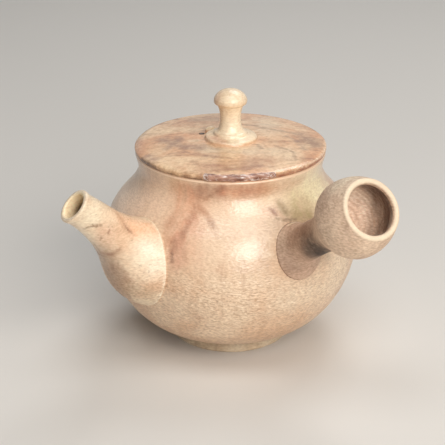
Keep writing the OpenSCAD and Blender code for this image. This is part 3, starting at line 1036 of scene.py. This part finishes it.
# %% Pot clay
pot_flecks_and_shade_line = marks(
    on_pot,
    # Drips and streaks just under the lid.
    ("#a06f50", 0.60, 1.2, (-28, 74.2), (-27.7, 69)),
    ("#9e6c4c", 0.65, 2, (-17.8, 74.4), (-18.1, 70.6)),
    ("#96653f", 0.50, 1, (-15.7, 70), (-12, 71.5), (-7.7, 73.4)),
    ("#8f5f45", 0.65, 1.8, (-7.5, 74.3), (-3.4, 75)),
    ("#e2a27a", 0.70, 2.4, (-1.6, 73.6), (2, 72.6)),
    # Flecks of iron in the runs.
    ("#8c5838", 0.40, 1.5, (-22.4, 60.2), (-23, 57.6)),
    ("#95684a", 0.60, 1.7, (-10.2, 62.6), (-8.6, 61.7)),
    ("#a37350", 0.50, 1.2, (-13.2, 63.8), (-12, 63.4)),
    ("#99674b", 0.65, 2.2, (-26.9, 55.4), (-26.5, 52.4)),
    ("#7f5945", 0.65, 1.2, (-26.6, 51.2), (-26.2, 48.6)),
    ("#b07e62", 0.50, 1.4, (-21.2, 53.6), (-20.1, 49.8)),
    # Dark lines at the straw-coloured patch; the last one is painted shade above the handle's flange.
    ("#976a4f", 0.80, 1.6, (23.4, 65.6), (25.6, 64.6)),
    ("#9a8055", 0.85, 2.6, (29.4, 67), (31.9, 64.4)),
    ("#806444", 0.55, 1, (25.5, 62.8), (29.3, 62), (32.7, 61.6), (36, 61.5)),
)
# The belly darkens towards the foot, painted shade lies in the crease above the foot, and a painted highlight
# runs round the rim.
pot_bands = [(UP, 20.0, 6.0, "#cfad8d", 0.6), (UP, 7.6, 5.2, "#7c5c45", 0.8)]
pot_rim_highlight = [(UP, rim_z - 1.1, rim_z - rim_drop, "#f6d5b6", 0.85)]
# Sandy and dry below, satin above, so that the belly takes one broad soft highlight.
clay_pot = stoneware("buff_stoneware_wood_fired", "#ddb693", "#ebcfb0", "#a87656", pot_strokes, pot_bands,
                     pot_flecks_and_shade_line, pot_rim_highlight, skin_sand=0.28, coat=0.6)

# %% [markdown]
# ## Foot, inside and seams
#
# The foot is wiped clean of slip before firing, so it stays pale and dry. Inside the pot neither flame nor
# ash arrives: the clay is plain and matt. Slip squeezed out of the handle's seam is rich in iron and fires to
# a thin dark line, and at the spout the thread is painted pale as a highlight. All four are the recipe with no
# marks.

# %% Foot, inside and slip clay
# Chalky and dry, so the eye finds no sheen on it.
clay_foot = stoneware("wiped_stoneware_foot", "#cbb191", "#e2cfb2", "#a1876f", rough=0.6, depth=0.3, sandy=0.7)
# Plain and matt: it recedes, and the pot looks deep.
clay_inside = stoneware("bare_stoneware_inside", "#d3ad8c", "#e0c2a2", "#a1785c", rough=0.64, depth=0.25)
# A dark hairline that shows where the handle ends and the pot begins.
clay_slip = stoneware("iron_slip_seam", "#9c7860", "#b08c70", "#7c5b47", rough=0.6, depth=0.15)
# Painted highlight: a pale thread along the spout's root, coloured as if it catches the light.
clay_thread_highlight = stoneware("slip_seam_painted_highlight", "#d6b08e", "#e4c6a6", "#b08766", rough=0.5, depth=0.15)

# %% [markdown]
# ## The spout's clay
#
# The spout stood in the path of the ash, so its tip and bell are pale and satin, with a scorched ring between
# them, a blush above and a few flecks of iron. A painted highlight lies on the bell and along its seam, and
# painted shade on its underside. A place on it is a share of its length and a turn. Inside, the bore is painted
# dark as shade, and a band turns it pale as painted light towards the lip.

# %% Spout clay
def on_spout(share, turn):
    return spout_points(np.array(share), np.array(math.radians(turn)), 0).tolist()


spout_strokes = marks(
    on_spout,
    # Pale ash on the tip, a painted highlight on the bell, and the blush above.
    ("#f6e8cb", 0.85, 9, (0.92, 180), (0.95, 100)),
    ("#fdf1da", 0.75, 8, (0.43, 172), (0.31, -178)),
    ("#f8bd93", 0.75, 5, (0.55, 140), (0.44, 128)),
    ("#e3b79a", 0.60, 4.5, (0.76, -152), (0.69, -140)),
    # The scorched ring, painted shade underneath, and the far side.
    ("#a57a5e", 0.50, 2.2, (0.56, -50), (0.57, -80), (0.58, -110), (0.57, -130), (0.57, -149)),
    ("#bd8f70", 0.50, 2.4, (0.71, 122), (0.68, 137), (0.63, 152), (0.58, 158)),
    ("#a3826a", 0.80, 8, (0.60, -96), (0.48, -96), (0.34, -104), (0.2, -90)),
    ("#bb9470", 0.55, 7, (0.26, -118), (0.17, -136)),
    ("#b3835f", 0.70, 4, (0.7, 40), (0.5, 20), (0.3, 40)),
)
spout_flecks_and_seam_highlight = marks(
    on_spout,
    ("#84603f", 0.60, 0.8, (0.87, -122), (0.87, -139), (0.86, -153), (0.83, -162), (0.81, -169)),
    ("#9a694e", 0.65, 0.8, (0.735, -140), (0.72, -131)),
    ("#9a694e", 0.60, 0.8, (0.735, -172), (0.725, -164)),
    ("#93654a", 0.50, 1, (0.585, -106), (0.575, -118), (0.57, -130)),
    ("#93654a", 0.55, 0.9, (0.575, -143), (0.575, -153)),
    ("#8d6247", 0.60, 0.8, (0.645, 149), (0.61, 155), (0.58, 158)),
    # A painted highlight along the bell's edge at the seam, in front.
    ("#f9ecd6", 0.60, 0.9, *spout_seam[36:85:6]),
)
# Pale satin that lights up on the bell, warm where the flame curled round it.
clay_spout = stoneware("ash_licked_stoneware_spout", "#e7c3a2", "#f1ddc0", "#a97858", spout_strokes,
                       edges=spout_flecks_and_seam_highlight, streak=(4.0, 1.0, 2.5), dots=0.3)
lip_at = float(np.array([-tip[0], 0, tip[1]]) @ tip_way)
lip_painted_light = [(tip_way, lip_at - 8.0, lip_at - 4.2, "#ffe9c3", 1.0)]
# Painted light and shade: cream at the lip and dark below it, which makes the bore look deep.
clay_mouth = stoneware("stoneware_mouth_painted_light_and_shade", "#745845", "#886a54", "#553f31", bands=lip_painted_light,
                       rough=0.6, depth=0.2)

# %% [markdown]
# ## The handle's clay
#
# The handle was shaded by the pot, so hardly any ash reached it: it stayed matt, grey-brown and speckled, with
# a rim that was wiped cream. Painted shadow of the bulb darkens its waist, and painted light lies on top of the
# bulb and along the flange's upper edge. Its ash line is set above its top, which leaves the whole piece bare.
# The cup inside is painted pale as light, with painted shade on the far side.

# %% Handle clay
NO_ASH = (200.0, 210.0)


def on_outline(outline):
    """A function that gives the place at a length along the handle and a turn round it."""

    def at(along, turn):
        radius = float(np.interp(along, outline[:, 1], outline[:, 0]))
        ring = math.cos(math.radians(turn)) * handle_side + math.sin(math.radians(turn)) * handle_up
        return (handle_cross + along * handle_way + radius * ring).tolist()

    return at


on_handle, on_cup = on_outline(handle_out), on_outline(handle_in)
handle_strokes = marks(
    on_handle,
    # Painted light on top of the bulb, darker brown and painted shadow of the bulb round the waist, a grey
    # flange.
    ("#f3e2c6", 0.85, 9, (98, 72), (105, 108)),
    ("#8a6044", 0.60, 8, (66.7, 168), (72, 150), (76.8, 165)),
    ("#4a3426", 0.60, 7.5, (80, -148), (75, -142), (71.5, -118)),
    ("#2a1b12", 0.88, 7.2, (80.5, -122), (75.5, -125), (73, -100), (71, -60)),
    ("#ad8f7a", 0.70, 7, (56, 170), (58, -140)),
)
# Painted highlight along the flange's upper edge.
flange_edge_highlight = marks(on_handle, ("#efdab8", 0.70, 0.9, (58.6, 106), (58.3, 92), (57.8, 73)))
rim_start = float(handle_cross @ handle_way) + handle_len
handle_rim = [(handle_way, rim_start + 0.2, rim_start + 1.0, "#f1dfc3", 0.72)]
# Dry and speckled, with hardly a highlight, so that the pale rim stands out.
clay_handle = stoneware("stoneware_handle_painted_light_and_shadow", "#cba88f", "#e0c4a9", "#8d6b54", handle_strokes,
                        edges=flange_edge_highlight, wiped_and_lit=handle_rim, streak=(2.5, 1.0, 1.0), ash_line=NO_ASH,
                        depth=0.16, rough=0.64, sandy=1.0, dots=0.3, mottle=0.25)

# %% Cup clay
# Painted shade on the cup's far wall, under the lip and at the bottom.
cup_painted_shade = marks(
    on_cup,
    ("#523220", 0.91, 10.3, (98.5, -46), (101, -15), (103.4, 15), (105.2, 45), (104.5, 72)),
    ("#6a452f", 0.60, 3.5, (106, 80), (106.3, 105), (106, 128)),
    ("#5f3c29", 0.60, 3.5, (105.5, -60), (106, -82), (106, -104)),
)
# Pale clay that stands for light and fades into painted shade, so that light seems to fall into the cup.
clay_cup = stoneware("stoneware_cup_painted_light_and_shade", "#fde2cc", "#fdeedc", "#bf9478", cup_painted_shade, ash_line=NO_ASH,
                     rough=0.62, depth=0.3, sandy=0.8)

# %% [markdown]
# ## The lid's clay
#
# The lid took the most flame: its clay is marbled by ash that was drawn across it, with thin dark veins. Its
# streaks run one way, square to the photograph's view, so the recipe's fine streaks are turned that way and
# made strong. A place on the lid is a turn from the front and a radius, and its edge has marks of its own.

# %% Marks on the lid
def on_lid(turn, radius):
    return [*(radius * heading(front + turn)), float(crown(radius))]


lid_strokes = marks(
    on_lid,
    # Pale ash behind and in front of the knob.
    ("#ead2b2", 0.80, 9, (150, 28), (125, 16)),
    ("#ecd2b0", 0.80, 8, (30, 16), (55, 26)),
    ("#ecd2b0", 0.70, 6, (-70, 15), (-30, 16), (20, 16)),
    # The scorch above the ash run.
    ("#b48263", 0.90, 6, (-10, 31), (28, 27)),
    ("#9c6b4f", 0.80, 2.2, (-2, 32), (22, 30.5)),
    # Veins and smoke to the left.
    ("#a87c60", 0.90, 1.5, (0, 22), (-26, 22), (-49, 23), (-54, 29)),
    ("#a17a62", 0.90, 4, (-89, 27), (-60, 20), (-48, 15.6)),
    ("#a58068", 0.80, 2.4, (-95, 20), (-79, 21), (-66, 27)),
    ("#efd6b0", 0.80, 2.0, (-77, 15), (-75, 13.6)),
    ("#6f503f", 0.95, 0.8, (-74, 13)),
    # Veins and smoke to the right.
    ("#9a785f", 0.70, 1.1, (49, 11.4), (54, 13), (44.5, 17.4)),
    ("#9a785f", 0.70, 1.1, (63, 19), (61, 23.5), (59.6, 27.7), (49.4, 33)),
    ("#a1806a", 0.75, 1.6, (97, 22), (86, 26), (69, 30.6)),
    ("#a98468", 0.90, 5, (104, 28), (91, 31), (80, 33)),
    ("#a5886d", 0.75, 1.6, (158, 18), (135, 18), (114, 22), (102, 28)),
    # The border of the top, and the far side.
    ("#a58b72", 0.80, 5, (-150, 28), (-168, 25)),
    ("#d79f7c", 0.90, 2.6, (-96, 36.6), (-72, 36.6)),
    ("#b08e7c", 0.80, 3.2, (-62, 36), (-54, 35.5)),
    ("#b98b68", 0.70, 4, (180, 35), (210, 30)),
)
print(len(lid_strokes), "strokes on the lid")

# %% Lid clay
def on_edge(turn, up):
    return [*(lid_r * heading(front + turn)), lid_z + up]


def level(up, *turns):
    """Stops at one height along the lid's edge, at a range of turns."""
    return [(turn, up) for turn in range(*turns)]


lid_edges = marks(
    on_edge,
    # Tan, then a dark patch, and a dark line below it that is painted shadow in the gap over the rim, on the
    # left.
    ("#b0805a", 0.60, 1.4, *level(0.9, -50, -10, 8)),
    ("#5c3726", 0.85, 1.5, (-64, 0.9), (-56, 1.1), (-49, 0.8)),
    ("#4a2c1d", 0.70, 1.1, *level(0.2, -92, -10, 8)),
    # Red-brown, with a pale upper line on the right that is a painted highlight, and plain behind.
    ("#9a5d3f", 0.85, 1.5, *level(0.8, 22, 72, 8)),
    ("#fde8cb", 0.55, 0.8, *level(2.2, 38, 96, 8)),
    ("#a87a5c", 0.80, 1.5, *level(1.0, 120, 255, 15)),
)
# Warm marbling under a satin skin, with veins as fine as hair.
clay_lid = stoneware("marbled_stoneware_lid", "#dba277", "#f5d3aa", "#9a6849", lid_strokes, edges=lid_edges,
                     streak_way=front + 90, streak=(3.2, 1.0, 1.0), lick=0.85, mottle=0.4)

# %% [markdown]
# ## The knob's clay
#
# The knob stood clear of the flame and stayed cream, with a faint blush on one side of its cap and collar. The
# burr beside the air hole is the same clean clay. The stem is painted paler as light under the cap, and the
# wall of the hole is painted dark as shade.

# %% Knob and vent clay
def on_knob(turn, radius, height):
    return [*(radius * heading(front + turn)), height]


knob_strokes = marks(
    on_knob,
    # Painted light: the stem is made paler under the cap.
    ("#fff3da", 0.95, 7, (0, 0, collar_z + 3), (0, 0, cap_z - 4)),
    ("#e3b293", 0.50, 4, (-95, 6.3, cap_z - 1), (-70, 6.0, cap_z + 2)),
    ("#e2b092", 0.75, 3, (-70, 9, collar_z + 1.5), (-20, 9.6, collar_z + 1.4)),
)
shade_stops = [(turn, 10.5, collar_z + 0.6) for turn in (-125, -107, -89, -71)]
knob_shade = marks(on_knob, ("#6b5039", 0.50, 1.1, *shade_stops))
knob_foot = [(UP, collar_z + 1.2, collar_z + 0.4, "#d8a981", 0.85)]
# Smooth cream, lighter than the lid, so the knob is what the eye finds first.
clay_knob = stoneware("cream_stoneware_knob", "#eed1ab", "#f6e2c2", "#bb9070", knob_strokes, knob_foot,
                      knob_shade)
# Painted shade: dark, so that a hole of two millimetres still reads as a hole.
clay_vent_shade = stoneware("stoneware_vent_painted_shade", "#4a3a2f", "#5a473a", "#352820", rough=0.6)

# %% [markdown]
# ## Melted ash
#
# The run on the lid's edge is natural ash glaze: a thin brown glass that cooled with pits and pools. Glass
# has a low roughness and an IOR near 1.5, so to the eye it is wet and dark, with small glints. Pale flecks
# drawn out along the edge are painted glints.

# %% Ash glaze
POOL, GLINT, BEAD = 1.1, 0.6, 0.6


def ash_glaze(name):
    material, tree, where = raw(name)
    run = put(tree, "Mapping", {"vector_type": "TEXTURE", "Rotation": (0, 0, math.radians(front + 90)),
                                "Scale": (4.5, 1.0, 1.0)}, {"Vector": where}).outputs[0]
    pool = put(tree, "TexNoise", {"Scale": per_mm(POOL), "Detail": 2.0, "Distortion": 0.4},
               {"Vector": run}).outputs["Fac"]
    deep = put(tree, "MapRange", {"From Min": 0.34, "From Max": 0.62}, {"Value": pool}).outputs[0]
    colour = put(tree, "Mix", {"data_type": "RGBA", FIRST: linear("#7a4e3d"), SECOND: linear("#c0937e")},
                 {MIX: deep}).outputs[MIXED]
    # Painted glints: pale flecks drawn out along the edge.
    painted_glints = put(tree, "TexNoise", {"Scale": per_mm(GLINT), "Detail": 3.0, "Distortion": 0.6},
                {"Vector": run}).outputs["Fac"]
    colour = shaded(tree, colour, "#f3e4da", painted_glints, 0.52, 0.64, 0.85)
    bead = put(tree, "Bump", {"Distance": BEAD * MM}, {"Height": pool}).outputs[0]
    return fired(material, put(tree, "BsdfPrincipled", {"IOR": 1.52, "Roughness": 0.1},
                               {"Base Color": colour, "Normal": bead}))


# Wet brown glass that glints along the front of the lid, with pale flecks painted in as more glints.
glaze = ash_glaze("natural_ash_glaze")

# %% [markdown]
# ## Dress the pieces
#
# Most pieces take one clay. Pot, spout and handle also have an inside, so their inner faces get a second
# material: a face is inside when it lies nearer the piece's axis than the middle of the wall. The wall of
# the air hole is found in the same way.

# %% Dress the outsides
finishes = [
    (pot, clay_pot), (foot, clay_foot), (spout, clay_spout), (handle, clay_handle), (lid, clay_lid),
    (burr, clay_knob), (knob, clay_knob), (lid_ring, clay_inside), (strainer, clay_inside), (ash, glaze),
    (spout_slip, clay_thread_highlight), (handle_slip, clay_slip),
]
for piece, material in finishes:
    piece.data.materials.clear()
    piece.data.materials.append(material)
print(len(finishes), "pieces dressed")

# %% Dress the insides
bore_wall, axis_steps, buried_steps = 1.1, 120, 8


def in_pot(points):
    deep = np.hypot(points[:, 0], points[:, 1]) < pot_radius(points[:, 2]) - wall / 2
    return deep & (points[:, 2] > foot_h + 1) & (points[:, 2] < rim_z - 1)


def in_cup(points):
    along = (points - handle_cross) @ handle_way
    away = np.linalg.norm(points - handle_cross - along[:, None] * handle_way, axis=1)
    deep = away < np.interp(along, handle_out[:, 1], handle_out[:, 0]) - cup_wall / 2
    return deep & (along < handle_len - 0.6)


def in_spout(points):
    shares = np.linspace(0, 1, axis_steps)
    axis = (spout_points(shares, 0 * shares, 0) + spout_points(shares, 0 * shares + math.pi, 0)) / 2
    far = np.linalg.norm(points[:, None] - axis, axis=2)
    near = far.argmin(axis=1)
    return (far.min(axis=1) < spout_radius(shares[near]) - bore_wall) & (near > buried_steps)


def in_vent(points):
    return np.linalg.norm(points[:, :2] - vent[:2], axis=1) < 0.999 * vent_r


linings = [
    (lid, clay_vent_shade, in_vent), (pot, clay_inside, in_pot),
    (handle, clay_cup, in_cup), (spout, clay_mouth, in_spout),
]
for piece, material, is_inside in linings:
    piece.data.materials.append(material)
    inner_faces = is_inside(np.array([face.center for face in piece.data.polygons]) / MM)
    piece.data.polygons.foreach_set("material_index", inner_faces.astype(np.int32))
    print(f"{piece.name}: {inner_faces.sum()} faces inside")

# %% [markdown]
# ## Floor, light and camera
#
# The pot stands on a plain pale floor. A tall soft lamp near the camera gives the belly its satin patch, one on
# the right models the form, a wide one overhead lights lid and shoulder, and one behind serves the far side.
# The sky only fills the shade a little, and it looks pale to the camera and in reflections. The camera looks
# down at the pot through a long lens, as the photograph does.

# %% Floor
floor_half = 3.0
corners = [(x * floor_half, y * floor_half, 0) for x, y in ((-1, -1), (1, -1), (1, 1), (-1, 1))]
floor_mesh = bpy.data.meshes.new("floor")
floor_mesh.from_pydata(corners, [], [(0, 1, 2, 3)])
floor = bpy.data.objects.new("floor", floor_mesh)
bpy.context.scene.collection.objects.link(floor)
# Paper without gloss, so that only the shadow marks the floor.
paper = bpy.data.materials.new("pale_paper")
paper.use_nodes = True
paper_inputs = paper.node_tree.nodes["Principled BSDF"].inputs
paper_inputs["Base Color"].default_value = linear("#e4e1dc")
paper_inputs["Roughness"].default_value = 0.9
floor.data.materials.append(paper)
print(f"floor {2 * floor_half:.0f} m wide")

# %% Sky
sky_fill, sky_seen = 0.05, 0.75
sky = bpy.data.worlds.new("studio_sky")
sky.use_nodes = True
sky_inputs = sky.node_tree.nodes["Background"].inputs
sky_inputs["Color"].default_value = linear("#f0efec")
ray = put(sky.node_tree, "LightPath", {}).outputs
seen = put(sky.node_tree, "Math", {"operation": "MAXIMUM"},
           {0: ray["Is Camera Ray"], 1: ray["Is Glossy Ray"]}).outputs[0]
glow = put(sky.node_tree, "MapRange", {"To Min": sky_fill, "To Max": sky_seen}, {"Value": seen}).outputs[0]
sky.node_tree.links.new(glow, sky_inputs["Strength"])
bpy.context.scene.world = sky
print("sky", sky_fill, "as light,", sky_seen, "as seen")

# %% Lamps
def aim_at(back):
    """The rotation of a lamp or camera that looks against the vector back."""
    flat = math.hypot(back[0], back[1])
    return (math.atan2(flat, back[2]), 0.0, math.atan2(back[1], back[0]) + math.pi / 2)


def lamp(name, turn, height, size, power, shade, distance=1.1):
    """A soft lamp, wide and tall, at a turn from the front and an angle above the floor, aimed at the belly."""
    data = bpy.data.lights.new(name, "AREA")
    data.shape = "RECTANGLE"
    data.size, data.size_y = size
    data.energy = power
    data.color = linear(shade)[:3]
    source = bpy.data.objects.new(name, data)
    out, up = heading(height)
    spot = np.array([*(heading(front + turn) * out), up]) * distance
    source.location = np.array([0, 0, belly_z * MM]) + spot
    source.rotation_euler = aim_at(spot)
    bpy.context.scene.collection.objects.link(source)
    print(f"{name}: {power} W")


lamp("front", 15, 26, (0.38, 0.75), 6.1, "#fffaf4")
lamp("right", 42, 34, (0.5, 0.5), 3.7, "#fff8f0")
lamp("ceiling", -4, 72, (0.9, 0.45), 3.7, "#ffffff")
lamp("back", 160, 55, (0.5, 0.5), 3.3, "#ffffff")

# %% Camera
camera_out, camera_z = 530.6, 266.8
aim_z, aim_left = 46.1, 3.1
lens_data = bpy.data.cameras.new("camera")
lens_data.sensor_width = 36.0
lens_data.lens = 116.3
camera = bpy.data.objects.new("camera", lens_data)
eye = np.array([*(camera_out * heading(front)), camera_z])
target = np.array([*(-aim_left * heading(front + 90)), aim_z])
camera.location = eye * MM
camera.rotation_euler = aim_at(eye - target)
bpy.context.scene.collection.objects.link(camera)
bpy.context.scene.camera = camera
bpy.context.scene.view_settings.view_transform = "Standard"
print("camera at", [round(c) for c in eye], "mm")
